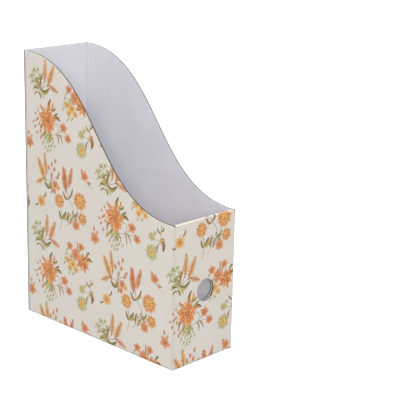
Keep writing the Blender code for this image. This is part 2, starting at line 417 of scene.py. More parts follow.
def berry_spray():
    """Amber flower spikes beside a spray of green berries and dark leaves."""
    stem([(0, 6), (-3, -5), (-6, -13), (-9, -20)], 1.0, BROWNS[0])
    stem([(-6, -14), (0, -8), (3, -2)], 0.7)
    stem([(-6, -14), (3, -10), (11, -8)], 0.7)
    heads = ((-16, 8), (-19, -5), (-13, -2), (-11, -9), (-5, 3), (-17, 2), (-15, -12), (-9, 9), (-22, 1))
    spray((-6, -12), heads, MINTS, 2.7)
    for x, y in ((-19, -5), (-13, -2), (-16, 8), (-5, 3), (-22, 1)):
        dot((x + 1.6, y - 1.4), 1.6, GREENS, 6)
    leaf([(-8, -14), (-13, -12), (-17, -14)], 3.2, GREENS)
    leaf([(-5, -16), (-1, -20), (1, -24)], 2.4, MINTS)
    leaf([(-5, -12), (-4, -5), (-2, 2)], 3.2, BROWNS)
    leaf([(-6, -13), (3, -17), (12, -10)], 5.2, GREENS)
    leaf([(-8, -17), (-5, -21), (-4, -25)], 2.8, GREENS)
    leaf([(-9, -18), (-13, -18), (-16, -22)], 2.2, BROWNS)
    spike((3, -2), 86, 23, 7.6, ORANGES, AMBERS)
    spike((9, -6), 64, 23, 8.4, ORANGES, AMBERS)
    spike((12, -8), 338, 15, 6.6, ORANGES, CORALS)


def posy():
    """Small coral and amber flowers crowded round a larger one."""
    leaf([(-2, 4), (-1, 11), (-3, 18)], 1.8, BROWNS)
    leaf([(1, 4), (3, 10), (2, 16)], 1.8, GREENS)
    leaf([(14, -3), (19, 0), (24, -2)], 4.4, BROWNS)
    leaf([(13, 2), (17, 7), (20, 8)], 3.0, GREENS)
    stem([(-15, 9), (-10, 3), (-5, 0)], 0.6)
    stem([(5, 12), (3, 5), (1, 0)], 0.6)
    heads = ((-21, -1), (-23, -7), (-20, 4), (-14, -3), (-24, -13), (-16, -24), (-9, -23))
    spray((-6, -6), heads, MINTS, 1.9)
    blossom((-15, 9), 5.6, 5, 90, CORALS)
    blossom((5, 12), 5.4, 5, 70, CORALS)
    blossom((-18, -9), 5.2, 5, 50, AMBERS, ORANGES)
    blossom((-15, -18), 4.8, 5, 10, AMBERS, ORANGES)
    blossom((-10, -12), 5.8, 6, 100, AMBERS, ORANGES)
    blossom((-4, -18), 4.4, 5, 30, AMBERS, ORANGES)
    for i in range(9):
        turn = 10 + 40 * i
        petal(polar((8, -6), turn, 1.0), turn, 12.5 if i % 2 else 11, 4.8, REDS if i % 3 else ORANGES)
    for i in range(6):
        turn = 36 + 60 * i
        petal(polar((8, -6), turn, 0.6), turn, 7.2, 3.8, REDS if i % 2 else ORANGES)
    dot((8, -6), 1.6, AMBERS)
    blossom((-5, 1), 7.6, 6, 30, CORALS)


def green_daisy():
    """A pale daisy edged in green with a brown leaf sprig."""
    stem([(8, 21), (7, 12), (7, 5), (2, -3), (-5, -7)], 0.9, BROWNS[1])
    stem([(5, 3), (-1, 4), (-6, 6)], 0.6)
    leaf([(6, 6), (11, 0), (10, -8)], 5.6, BROWNS)
    leaf([(6, 4), (11, 7), (13, 4)], 2.2, AMBERS)
    leaf([(7, 12), (3, 14), (1, 18)], 2.2, BROWNS)
    leaf([(7, 14), (11, 17), (11, 21)], 2.2, GREENS)
    leaf([(3, 0), (1, -6), (2, -10)], 2.2, BROWNS)
    daisy((-7, -12), 9.8, 96, MINTS, GOLDS)
    blossom((-7, -12), 4.4, 7, 84, AMBERS, ORANGES)
    daisy((-7, 6), 5.6, 100, MINTS, GOLDS, 11)
    blossom((-2, 11), 3.0, 5, 20, MINTS)


def wheat_sheaf():
    """Amber spikes at the left, a sprig of coral buds at the right, a dark leaf below."""
    stem([(-7, -8), (2, -9), (10, -11)], 0.9, BROWNS[1])
    buds = ((14, 15, 80), (3, 5, 100), (12, 5, 70), (19, 1, 50), (8, -3, 95), (16, -3, 30), (8, 10, 90))
    for x, y, turn in buds:
        stem([(6, -9), ((x + 6) / 2, (y - 6) / 2), (x, y)], 0.45)
        bud((x, y), turn, 5.2, CORALS)
    leaf([(7, -9), (2, -16), (-6, -11)], 5.4, GREENS)
    leaf([(4, -10), (8, -18), (6, -23)], 2.4, BROWNS)
    spike((-5, -7), 118, 25, 9.0, AMBERS, ORANGES)
    spike((-2, 1), 98, 23, 7.4, AMBERS, ORANGES)
    spike((-7, -8), 206, 15, 7.0, AMBERS, ORANGES)
    blossom((14, -11), 5.8, 5, 70, CORALS)
    blossom((12, -19), 4.0, 5, 20, CORALS)
    blossom((19, -14), 3.8, 5, 50, AMBERS, ORANGES)


def tall_daisies():
    """Daisies on long stems with olive leaves, and two coral spikes above them."""
    stem([(-7, 10), (-4, -2), (4, -12), (4, -24)], 0.9, BROWNS[1])
    stem([(-19, -14), (-15, -28), (-19, -44)], 0.9)
    stem([(18, -18), (10, -24), (-4, -34)], 0.7)
    stem([(4, -20), (-2, -30), (-10, -38)], 0.7)
    leaf([(-4, -3), (-9, -3), (-14, 5)], 3.6, BROWNS)
    leaf([(-4, -3), (1, 2), (4, 11)], 3.2, BROWNS)
    leaf([(-14, -30), (-11, -26), (-8, -19)], 5.6, GREENS)
    leaf([(-15, -30), (-18, -27), (-21, -20)], 4.0, GREENS)
    leaf([(-5, -32), (-5, -25), (-3, -18)], 3.2, BROWNS)
    leaf([(4, -24), (0, -28), (-1, -34)], 2.6, GREENS)
    leaf([(6, -25), (11, -19), (12, -14)], 2.6, GREENS)
    spray((2, -26), ((7, -20), (10, -25), (-1, -22), (12, -29), (4, -17), (-8, -27)), GREENS, 1.7)
    daisy((-20, -9), 8.8, 80, ORANGES, AMBERS)
    daisy((16, -2), 11.0, 95, ORANGES, AMBERS, 17)
    daisy((20, -22), 7.8, 90, ORANGES, AMBERS, 13)
    blossom((9, -32), 6.6, 6, 90, CORALS)
    spike((-9, 7), 96, 25, 9.2, REDS, ORANGES)
    spike((-3, 13), 74, 21, 7.2, REDS, ORANGES)


def flower_sprig():
    """A small coral flower on a thin bent stem."""
    stem([(-4, 2), (1, -4), (6, -8), (11, -9)], 0.6)
    leaf([(2, -5), (5, -4), (8, -3)], 1.8, GREENS)
    bud((2, -2), 300, 5.0, CORALS)
    bud((-7, 7), 120, 4.6, CORALS)
    blossom((-4, 3), 6.6, 5, 75, CORALS)


def amber_bloom():
    """A single amber flower, two rings of six petals, with a leaf on each side."""
    leaf([(-5, -2), (-8, -6), (-12, -6)], 2.4, GREENS)
    leaf([(4, 5), (8, 9), (8, 13)], 2.4, BROWNS)
    blossom((0, 0), 7.8, 6, 88, AMBERS, ORANGES, 0.6)
    blossom((0, 0), 4.6, 6, 58, ORANGES, AMBERS, 0.6)


def coral_pair():
    """A small coral flower with a bud above it."""
    stem([(-1, 11), (0, 5), (1, 0)], 0.5)
    bud((-1, 9), 95, 5.0, CORALS)
    blossom((0, 0), 7.6, 5, 60, CORALS)
    petal((3, 6), 60, 4.6, 2.8, CORALS)


# The repeat of the print: every motif comes back REPEAT_ACROSS further on, half a REPEAT_UP lower. No motif
# starts in the BARE rectangle just above the rolled top of the front, so that the roll stays nearly plain.
MOTIF_REACH = 60.0  # no motif reaches further than this from its place
REPEAT_ACROSS = 114.5
REPEAT_UP = 183.0
LAYOUT = (
    (lily_bouquet, 42, 61), (berry_spray, 34, 109), (posy, 94, 93), (green_daisy, 107, 48),
    (wheat_sheaf, 40, -2), (tall_daisies, 81, -22), (flower_sprig, 109, 4), (amber_bloom, 28, -38),
    (coral_pair, 8, 30),
)
BARE = ((U_FRONT, FRONT_HEIGHT + 8.0), (U_RIGHT, FRONT_HEIGHT + 22.0))


def drawn(motif):
    """The shapes of a motif, in painting order."""
    INKED.clear()
    motif()
    return list(INKED)


DRAWN = [(drawn(motif), across, up) for motif, across, up in LAYOUT]


def overlap(first_low, first_high, second_low, second_high):
    """Whether two upright rectangles have an area in common."""
    return all(first_low[i] < second_high[i] and first_high[i] > second_low[i] for i in range(2))


def print_over(low, high):
    """Every inked shape that reaches into a rectangle of the blank, in painting order."""
    found = []
    first = math.floor((low[0] - MOTIF_REACH) / REPEAT_ACROSS)
    last = math.ceil((high[0] + MOTIF_REACH) / REPEAT_ACROSS)
    for column in range(first, last + 1):
        drop = -column * REPEAT_UP / 2
        lowest = math.floor((low[1] - MOTIF_REACH - drop) / REPEAT_UP)
        highest = math.ceil((high[1] + MOTIF_REACH - drop) / REPEAT_UP)
        for row in range(lowest, highest + 1):
            for shapes, across, up in DRAWN:
                dx, dy = across + column * REPEAT_ACROSS, up + drop + row * REPEAT_UP
                if overlap((dx, dy), (dx, dy), *BARE):
                    continue
                near_low, near_high = (low[0] - dx, low[1] - dy), (high[0] - dx, high[1] - dy)
                found += [shape.moved(dx, dy) for shape in shapes
                          if overlap(shape.low, shape.high, near_low, near_high)]
    return found


# ---- materials

class Nodes:
    """Short calls for building a node tree."""

    def __init__(self, name):
        self.material = bpy.data.materials.new(name)
        self.material.use_nodes = True
        self.tree = self.material.node_tree
        self.shader = self.tree.nodes["Principled BSDF"]

    def fill(self, node, inputs):
        """Link or set the inputs of a node."""
        for key, value in inputs.items():
            if isinstance(value, bpy.types.NodeSocket):
                self.tree.links.new(value, node.inputs[key])
            else:
                node.inputs[key].default_value = value

    def add(self, kind, inputs=None, **settings):
        node = self.tree.nodes.new(kind)
        for key, value in settings.items():
            setattr(node, key, value)
        self.fill(node, inputs or {})
        return node

    def math(self, operation, first, second=0.0):
        return self.add("ShaderNodeMath", {0: first, 1: second}, operation=operation).outputs[0]

    def product(self, first, *others):
        for other in others:
            first = self.math("MULTIPLY", first, other)
        return first

    def noise(self, vector, scale, detail=2.0):
        settings = {"Vector": vector, "Scale": scale, "Detail": detail}
        return self.add("ShaderNodeTexNoise", settings).outputs["Fac"]

    def spread(self, value, low, high, start=0.3, end=0.7):
        """Map start..end to low..high; noise is mostly 0.3..0.7."""
        settings = {"Value": value, "From Min": start, "From Max": end, "To Min": low, "To Max": high}
        return self.add("ShaderNodeMapRange", settings).outputs["Result"]

    def plain(self, colour):
        node = self.add("ShaderNodeRGB")
        node.outputs[0].default_value = (*colour, 1.0)
        return node.outputs[0]

    def tint(self, colour, factor):
        """Colour times a grey factor."""
        node = self.add("ShaderNodeVectorMath", {0: colour, "Scale": factor}, operation="SCALE")
        return node.outputs["Vector"]

    def blank(self):
        """Place on the flat blank, in millimetres."""
        return self.add("ShaderNodeAttribute", attribute_name="blank").outputs["Vector"]

    def place(self):
        """Place on the object, in metres."""
        return self.add("ShaderNodeTexCoord").outputs["Object"]

    def split(self, vector):
        return self.add("ShaderNodeSeparateXYZ", {0: vector}).outputs

    def stretched(self, vector, along, up):
        settings = {0: vector, 1: (along, up, 1.0)}
        return self.add("ShaderNodeVectorMath", settings, operation="MULTIPLY").outputs[0]

    def washboard(self, vector):
        """Height of the faint ridges that the flutes leave in a liner."""
        wobble = self.product(self.noise(vector, 0.02), 2.0)
        across = self.math("ADD", self.split(vector)["X"], wobble)
        return self.math("SINE", self.product(across, 2 * math.pi / FLUTE_PITCH))

    def bump(self, height, distance, before=None):
        settings = {"Height": height, "Strength": 1.0, "Distance": distance * MM}
        if before is not None:
            settings["Normal"] = before
        return self.add("ShaderNodeBump", settings).outputs["Normal"]

    def finish(self, colour, roughness, normal, specular=0.35):
        self.fill(self.shader, {"Base Color": colour, "Roughness": roughness, "Normal": normal,
                                "Specular IOR Level": specular})
        return self.material


def printed_paper():
    """Matt coated paper: the ink, a little uneven in density, over paper with a fine grain."""
    n = Nodes("printed_paper")
    blank = n.blank()
    ink = n.add("ShaderNodeAttribute", attribute_name="ink").outputs["Color"]
    cloud = n.spread(n.noise(blank, 0.018), 0.985, 1.012)
    grain = n.spread(n.noise(blank, 2.2, 4.0), 0.965, 1.03)
    fibre = n.spread(n.noise(n.stretched(blank, 3.0, 0.5), 0.8, 3.0), 0.985, 1.012)
    colour = n.tint(ink, n.product(cloud, grain, fibre))
    ridges = n.bump(n.washboard(blank), 0.0045)
    normal = n.bump(n.noise(blank, 1.6, 3.0), 0.02, ridges)
    roughness = n.spread(n.noise(blank, 0.12), 0.52, 0.62)
    return n.finish(colour, roughness, normal, 0.3)


def white_liner(name, tone):
    """Bleached liner, a cool white with fine fibres, over the flutes. Its second argument darkens it all over
    as painted shade, and painted shade darkens it a little in the hollows of the flute ridges and along a few
    pressed lines.
    """
    n = Nodes(name)
    blank = n.blank()
    cloud = n.spread(n.noise(blank, 0.03), 0.97, 1.02)
    fibre = n.spread(n.noise(n.stretched(blank, 2.5, 0.35), 0.9, 4.0), 0.97, 1.02)
    ridge = n.washboard(blank)
    # painted shade: the colour follows the flute ridges, a little darker in their hollows
    shade = n.math("ADD", n.product(ridge, 0.008), tone)
    across = n.split(blank)["X"]
    # painted shade: the liner is up to a tenth darker along each pressed line
    for score in SCORE_SHADE_LINES:
        gap = n.math("ABSOLUTE", n.math("SUBTRACT", across, score))
        shade = n.product(shade, n.spread(gap, 0.9, 1.0, 0.0, SCORE_SHADE_WIDTH))
    colour = n.tint(n.plain(WHITE_LINER), n.product(cloud, fibre, shade))
    ridges = n.bump(ridge, 0.012)
    normal = n.bump(n.noise(blank, 1.4, 3.0), 0.03, ridges)
    return n.finish(colour, n.spread(n.noise(blank, 0.2), 0.66, 0.76), normal, 0.25)


def kraft(name, colour, contrast):
    """Unbleached paper: the core, and the cut edges of the liners, in a colour darkened with painted shade of
    the open flutes.
    """
    n = Nodes(name)
    place = n.place()
    fibre = n.spread(n.noise(place, 900.0, 4.0), 1.0 - contrast, 1.0 + contrast)
    fleck = n.spread(n.noise(place, 220.0), 0.93, 1.05)
    shade = n.tint(n.plain(colour), n.product(fibre, fleck))
    normal = n.bump(n.noise(place, 1400.0, 3.0), 0.05)
    return n.finish(shade, 0.88, normal, 0.15)


def dried_glue():
    n = Nodes("dried_glue")
    place = n.place()
    bubbles = n.noise(place, 450.0, 3.0)
    colour = n.tint(n.plain((0.62, 0.54, 0.36)), n.spread(bubbles, 0.85, 1.1))
    return n.finish(colour, 0.38, n.bump(bubbles, 0.08), 0.5)


PRINT = printed_paper()
WHITE = white_liner("white_liner", 1.0)
# the white liner on the inside of a crease, at 0.8: painted shade in the hollow of the fold
CREASE_LINER_SHADED = white_liner("crease_liner_painted_shade", 0.8)
CORE = kraft("core_paper", KRAFT_AND_FLUTE_SHADE, 0.12)
# the liners' cut edges: kraft brown darkened with painted shade
EDGE = kraft("liner_edge", linear(92, 73, 57), 0.08)
GLUE = dried_glue()


# ---- tessellation

def spaced(points, step):
    """The same outline with points at most one step apart."""
    result = []
    for start, end in pairs(points):
        count = max(1, math.ceil(math.dist(start, end) / step))
        result += [(start[0] + (end[0] - start[0]) * i / count, start[1] + (end[1] - start[1]) * i / count)
                   for i in range(count)]
    return result


def segment_distance(points, segments):
    """Distance from every point to the nearest of the segments."""
    best = np.full(len(points), FAR)
    for (ax, ay), (bx, by) in segments:
        d = np.array((bx - ax, by - ay))
        offset = points - np.array((ax, ay))
        t = np.clip(offset @ d / max(d @ d, 1e-9), 0.0, 1.0)
        best = np.minimum(best, np.linalg.norm(offset - t[:, None] * d, axis=1))
    return best


def signed_area(loop):
    return sum(a[0] * b[1] - b[0] * a[1] for a, b in pairs(loop)) / 2


def tessellate(loops, shapes, lines, extra):
    """Triangles inside the first loop and outside the others, each with the topmost shape over it."""
    points, faces, edges = [], [], []
    for loop in loops + [shape.points for shape in shapes]:
        faces.append(list(range(len(points), len(points) + len(loop))))
        points += loop if signed_area(loop) > 0 else loop[::-1]
    for line in lines:
        edges.append((len(points), len(points) + 1))
        points += line
    points += extra
    vectors = [Vector(point) for point in points]
    found, _, triangles, origins, _, owners = delaunay_2d_cdt(vectors, edges, faces, 0, MERGE, True)
    kept, number = [], {}
    for corners, owner in zip(triangles, owners):
        if 0 in owner and not any(0 < i < len(loops) for i in owner):
            top = max(owner) - len(loops)
            corners = [number.setdefault(i, len(number)) for i in corners]
            kept.append((corners, shapes[top] if top >= 0 else None))
    return [tuple(found[i]) for i in number], kept, [origins[i] for i in number]


def boundary_loops(triangles):
    """Closed walks along the edges that only one triangle uses."""
    directed = {(c[i], c[(i + 1) % 3]) for c, _ in triangles for i in range(3)}
    following = {a: b for a, b in directed if (b, a) not in directed}
    loops = []
    while following:
        start, at = next(iter(following.items()))
        loop = [start]
        del following[start]
        while at != start:
            loop.append(at)
            at = following.pop(at)
        loops.append(loop)
    return loops


class Sheet:
    """One panel or crease of the blank.

    A place on it is (u, v) on the flat blank, printed side up, with n the depth below the print.
    place(u, v, n) gives where that is on the folded file. creases are the u and the v values of edges that
    aren't cut, hole is (u, v, radius), lines run across a strip that bends, and rows are the v values where a
    panel is stepped.
    """

    def __init__(self, name, nodes, rider, outline, place, creases=((), ()), hole=None, lines=(), rows=()):
        self.name, self.nodes, self.rider, self.place = name, nodes, rider, place
        # darkening of the print on a crease, part wear and part painted shade; 1 on a plain panel
        self.wear_and_shade = 1.0
        self.outline = spaced(outline, OUTLINE_STEP)
        us, vs = [p[0] for p in self.outline], [p[1] for p in self.outline]
        self.low, self.high = (min(us), min(vs)), (max(us), max(vs))
        self.hole, self.rows = hole, rows
        self.lines = [list(line) for line in lines]
        self.loops = [self.outline]
        if hole:
            self.loops.append([polar(hole[:2], 360.0 * i / HOLE_SIDES, hole[2]) for i in range(HOLE_SIDES)])
        segments = [pair for loop in self.loops for pair in pairs(loop)]
        self.cuts = [pair for pair in segments if not any(
            all(abs(point[axis] - value) < SAME for point in pair)
            for axis in (0, 1) for value in creases[axis])]
        self.extra = []
        if not lines:
            self.extra = self.border() + self.grid(segments)

    def border(self):
        """Points just inside the cut edges, where the liner starts to roll down."""
        points = []
        for index, loop in enumerate(self.loops):
            loop = loop if (signed_area(loop) > 0) == (index == 0) else loop[::-1]
            for before, (point, after) in zip(loop[-1:] + loop[:-1], pairs(loop)):
                dx, dy = after[0] - before[0], after[1] - before[1]
                length = math.hypot(dx, dy)
                points += [(point[0] - dy / length * EDGE_ROLL * s, point[1] + dx / length * EDGE_ROLL * s)
                           for s in BORDER_ROWS]
        near = self.distance(points)
        return [point for point, gap in zip(points, near) if gap > BORDER_LEAST * EDGE_ROLL]

    def grid(self, segments):
        points = [(u, v)
                  for u in np.arange(self.low[0] + GRID / 2, self.high[0], GRID)
                  for v in np.arange(self.low[1] + GRID / 2, self.high[1], GRID)]
        points += [(u, v) for u in np.arange(self.low[0] + 1.0, self.high[0], ROW_GRID) for v in self.rows]
        near = segment_distance(np.array(points), segments) if points else []
        least = EDGE_ROLL * (ROW_LEAST if self.rows else GRID_LEAST)
        return [(float(u), float(v)) for (u, v), gap in zip(points, near) if gap > least]

    def distance(self, points):
        if not self.cuts:
            return np.full(len(points), FAR)
        return segment_distance(np.array(points), self.cuts)

    def layer(self, suffix, levels, sinks, looks, shapes=()):
        """A closed solid between two depths; looks are its materials: print side, far side and cut edge."""
        points, near_side, _ = tessellate(self.loops, list(shapes), self.lines, self.extra)
        loops = boundary_loops(near_side)
        rings = [[points[i] for i in loop] for loop in loops]
        rings.sort(key=lambda ring: -abs(signed_area(ring)))
        under, far_side, origins = tessellate(rings, [], self.lines, self.extra)
        upright = [ring if signed_area(ring) > 0 else ring[::-1] for ring in rings]
        index_of = {point: i for i, point in enumerate(points)}
        flat = [index_of[point] for ring in upright for point in ring]
        matching = {flat[source]: new for new, sources in enumerate(origins)
                    for source in sources if source < len(flat)}
        verts, blanks = [], []
        for group, level, sink in ((points, levels[0], sinks[0]), (under, levels[1], sinks[1])):
            gaps = np.clip(self.distance(group) / EDGE_ROLL, 0.0, 1.0)
            for (u, v), gap in zip(group, gaps):
                verts.append(self.place(u, v, level + sink * (1.0 - gap) ** 2) * MM)
                blanks.append((u, v, level))
        first = len(points)
        faces, slots, inks = [], [], []
        for corners, shape in near_side:
            faces.append(tuple(corners))
            slots.append(0)
            tones = [shape.colour(*points[i]) if shape else GROUND for i in corners]
            # on a crease this darkens the ink with wear and painted shade
            inks += [tuple(self.wear_and_shade * value for value in tone) for tone in tones]
        for corners, _ in far_side:
            faces.append(tuple(first + i for i in reversed(corners)))
            slots.append(1)
            inks += [GROUND] * 3
        for loop in loops:
            for a, b in pairs(loop):
                faces.append((b, a, first + matching[a], first + matching[b]))
                slots.append(2)
                inks += [GROUND] * 4
        add_piece(self, suffix, verts, faces, slots, looks, blanks, inks)

    def core(self):
        """The fluted core paper, a wave across u that runs along v and stands back from the cuts."""
        low, high = self.low[0] + CORE_INSET, self.high[0] - CORE_INSET
        cuts = [low, high]
        if self.hole:
            reach = self.hole[2] + CORE_INSET
            cuts = [low, self.hole[0] - reach, self.hole[0] + reach, high]
        verts, faces, blanks = [], [], []
        for start, end in zip(cuts, cuts[1:]):
            columns = np.linspace(start, end, max(2, round((end - start) / FLUTE_PITCH * FLUTE_STEPS)))
            middle = (start + end) / 2
            split = self.hole and abs(middle - self.hole[0]) < self.hole[2]
            for part in (("under", "over") if split else ("all",)):
                self.flutes(columns, part, verts, faces, blanks)
        add_piece(self, "core", verts, faces, [0] * len(faces), (CORE,), blanks)

    def flutes(self, columns, part, verts, faces, blanks):
        swing = (BOARD - 2 * LINER - FLUTE_PAPER) / 2
        base = len(verts)
        for u in columns:
            crossed = [a[1] + (b[1] - a[1]) * (u - a[0]) / (b[0] - a[0])
                       for a, b in pairs(self.outline)
                       if (a[0] - u) * (b[0] - u) <= 0 and abs(a[0] - b[0]) > 1e-9]
            ends = [min(crossed) + CORE_INSET, max(crossed) - CORE_INSET]
            if part != "all":
                reach = self.hole[2] + CORE_INSET
                half = math.sqrt(max(0.0, reach ** 2 - (u - self.hole[0]) ** 2))
                if part == "under":
                    ends[1] = self.hole[1] - half
                else:
                    ends[0] = self.hole[1] + half
            wave = BOARD / 2 + swing * math.sin(2 * math.pi * u / FLUTE_PITCH)
            rows = [ends[0], *self.rows, ends[1]]
            if self.rows and (ends[0] > self.rows[0] - ROW_CLEAR or ends[1] < self.rows[-1] + ROW_CLEAR):
                rows = [float(v) for v in np.linspace(ends[0], ends[1], len(rows))]
            for depth in (wave - FLUTE_PAPER / 2, wave + FLUTE_PAPER / 2):
                for v in rows:
                    verts.append(self.place(float(u), v, depth) * MM)
                    blanks.append((u, v, depth))
        count = len(self.rows) + 2
        for i in range(len(columns) - 1):
            a, b = base + 2 * count * i, base + 2 * count * (i + 1)
            c, d = a + count, b + count
            for k in range(count - 1):
                faces += [(a + k, b + k, b + k + 1, a + k + 1), (c + k, c + k + 1, d + k + 1, d + k)]
            end = count - 1
            faces += [(a, c, d, b), (a + end, b + end, d + end, c + end)]
        a, b = base, base + 2 * count * (len(columns) - 1)
        for k in range(count - 1):
            faces += [(a + k, a + k + 1, a + count + k + 1, a + count + k),
                      (b + k, b + count + k, b + count + k + 1, b + k + 1)]

    def build(self):
        """The panel as three layers of paper."""
        shapes = print_over(self.low, self.high)
        self.layer("print", (0.0, LINER), (EDGE_SINK, 0.0), (PRINT, EDGE, EDGE), shapes)
        self.core()
        self.layer("liner", (BOARD - LINER, BOARD), (0.0, -EDGE_SINK), (EDGE, WHITE, EDGE))

    def build_crease(self):
        """A creased strip, where the board is crushed into one layer; its print is darkened, partly as wear
        and partly as painted shade, and its inner liner carries painted shade.
        """
        self.wear_and_shade = CREASE_WEAR_AND_SHADE
        shapes = print_over(self.low, self.high)
        self.layer("crease", (0.0, BOARD), (0.0, 0.0), (PRINT, CREASE_LINER_SHADED, CORE), shapes)


def add_piece(sheet, suffix, verts, faces, slots, looks, blanks, inks=None):
    name = sheet.name + "_" + suffix
    mesh = bpy.data.meshes.new(name)
    mesh.from_pydata([tuple(v) for v in verts], [], faces)
    for look in looks:
        mesh.materials.append(look)
    mesh.polygons.foreach_set("material_index", slots)
    blank = mesh.attributes.new("blank", "FLOAT_VECTOR", "POINT")
    blank.data.foreach_set("vector", np.array(blanks, np.float32).ravel())
    if inks:
        ink = mesh.attributes.new("ink", "FLOAT_COLOR", "CORNER")
        rows = np.ones((len(inks), 4), np.float32)
        rows[:, :3] = inks
        ink.data.foreach_set("color", rows.ravel())
    mesh.shade_smooth()
    mesh.set_sharp_from_angle(angle=math.radians(SHARP_ANGLE))
    mesh.validate()
    item = bpy.data.objects.new(name, mesh)
    bpy.context.scene.collection.objects.link(item)
    if isinstance(sheet.rider, str):
        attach(item, sheet.rider)
    else:
        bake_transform(item)
    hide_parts(*sheet.nodes)


# ---- the blank, folded up

ROLL = inner_high.y + Y_OUT  # overall depth of the rolled top of the front
FLAP_OUT = flap_high.y
FLAP_SHIFT = Y_OUT - FLAP_OUT
WALL_FOOT = front_low.z  # lowest edge of a wall that carries a bottom flap
FRONT_MIDDLE, BACK_MIDDLE = U_FRONT + X_OUT, U_BACK + X_OUT
TURN = FRONT_HEIGHT + ROLL + BEND  # the v at which the inner front starts down
MIRROR = 2 * FRONT_HEIGHT + ROLL  # on the inner front, v is this much less the height
LEAN = INNER_LEAN / (inner_high.z - inner_low.z)


def plane(origin, along, up, inward):
    """Places on a flat panel: from origin, u runs along, v runs up and the depth runs inward."""
    def place(u, v, n):
        return Vector([o + a * u + b * v + c * n for o, a, b, c in zip(origin, along, up, inward)])
    return place


left_wall = plane((-X_OUT, Y_OUT, 0), -Y, Z, X)
front_wall = plane((-FRONT_MIDDLE, -Y_OUT, 0), X, Z, Y)
right_wall = plane((X_OUT, -U_RIGHT - Y_OUT, 0), Y, Z, -X)
back_wall = plane((BACK_MIDDLE, Y_OUT, 0), -X, Z, -Y)
glue_wall = plane((FLAP_SHIFT - X_OUT, FLAP_OUT, 0), -X, Z, -Y)
band_place = plane((-FRONT_MIDDLE, -FRONT_HEIGHT - Y_OUT, FRONT_HEIGHT), X, Y, -Z)
inner_place = plane((-FRONT_MIDDLE, ROLL - Y_OUT + LEAN * TURN, MIRROR), X, (0, -LEAN, -1), -Y)
bottom_place = plane((-X_OUT, Y_OUT, 0), -Y, -X, Z)
tab_place = plane((tab_high.x, Y_OUT, -tab_high.x - X_OUT), -Y, -Z, -X)


def dust_height(reach):
    """Level of a dust flap's under side, this far from the inside of its wall."""
    rise = dust_high.z - BOARD
    t = min(1.0, max(0.0, (reach - DUST_STEP[0]) / (DUST_STEP[1] - DUST_STEP[0])))
    return rise * t * t * (3 - 2 * t)


def front_dust_place(u, v, n):
    return Vector((u - FRONT_MIDDLE, -v - Y_OUT, dust_height(-v - BOARD) + n))


def back_dust_place(u, v, n):
    return Vector((BACK_MIDDLE - u, Y_OUT + v, dust_height(-v - BOARD) + n))


def bend(centre, first, second, radius, axis, span, run):
    """Places on a quarter ring: outward turns from first to second while u or v (axis) crosses span."""
    def place(u, v, n):
        t = math.pi / 2 * ((u, v)[axis] - span[0]) / (span[1] - span[0])
        return Vector(centre) + (first * math.cos(t) + second * math.sin(t)) * (radius - n) + run(u, v)
    return place


def crease_lines(axis, span, ends):
    """Lines across a crease strip, so that it bends in even steps."""
    lines = []
    for i in range(1, CREASE_STEPS):
        at = span[0] + (span[1] - span[0]) * i / CREASE_STEPS
        lines.append([(at, end) if axis == 0 else (end, at) for end in ends])
    return lines


def rectangle(low_u, low_v, high_u, high_v):
    return [(low_u, low_v), (high_u, low_v), (high_u, high_v), (low_u, high_v)]


def rim():
    """The S-shaped rim from front to back, as (y, z)."""
    start, end = (RIM_START, FRONT_HEIGHT), (RIM_END, HEIGHT)
    handles = (start, (start[0] + RIM_EASE, start[1]), (end[0] - RIM_EASE, end[1]), end)
    points = []
    for step in range(RIM_STEPS + 1):
        t = step / RIM_STEPS
        weights = ((1 - t) ** 3, 3 * t * (1 - t) ** 2, 3 * t * t * (1 - t), t ** 3)
        points.append(tuple(sum(w * p[i] for w, p in zip(weights, handles)) for i in range(2)))
    return points


def wall_foot(start, low, high, end):
    """The foot of a wall from start to end, cut back between low and high, where a flap hangs."""
    return [(start, 0.0), (low, 0.0), (low, WALL_FOOT), (high, WALL_FOOT), (high, 0.0), (end, 0.0)]


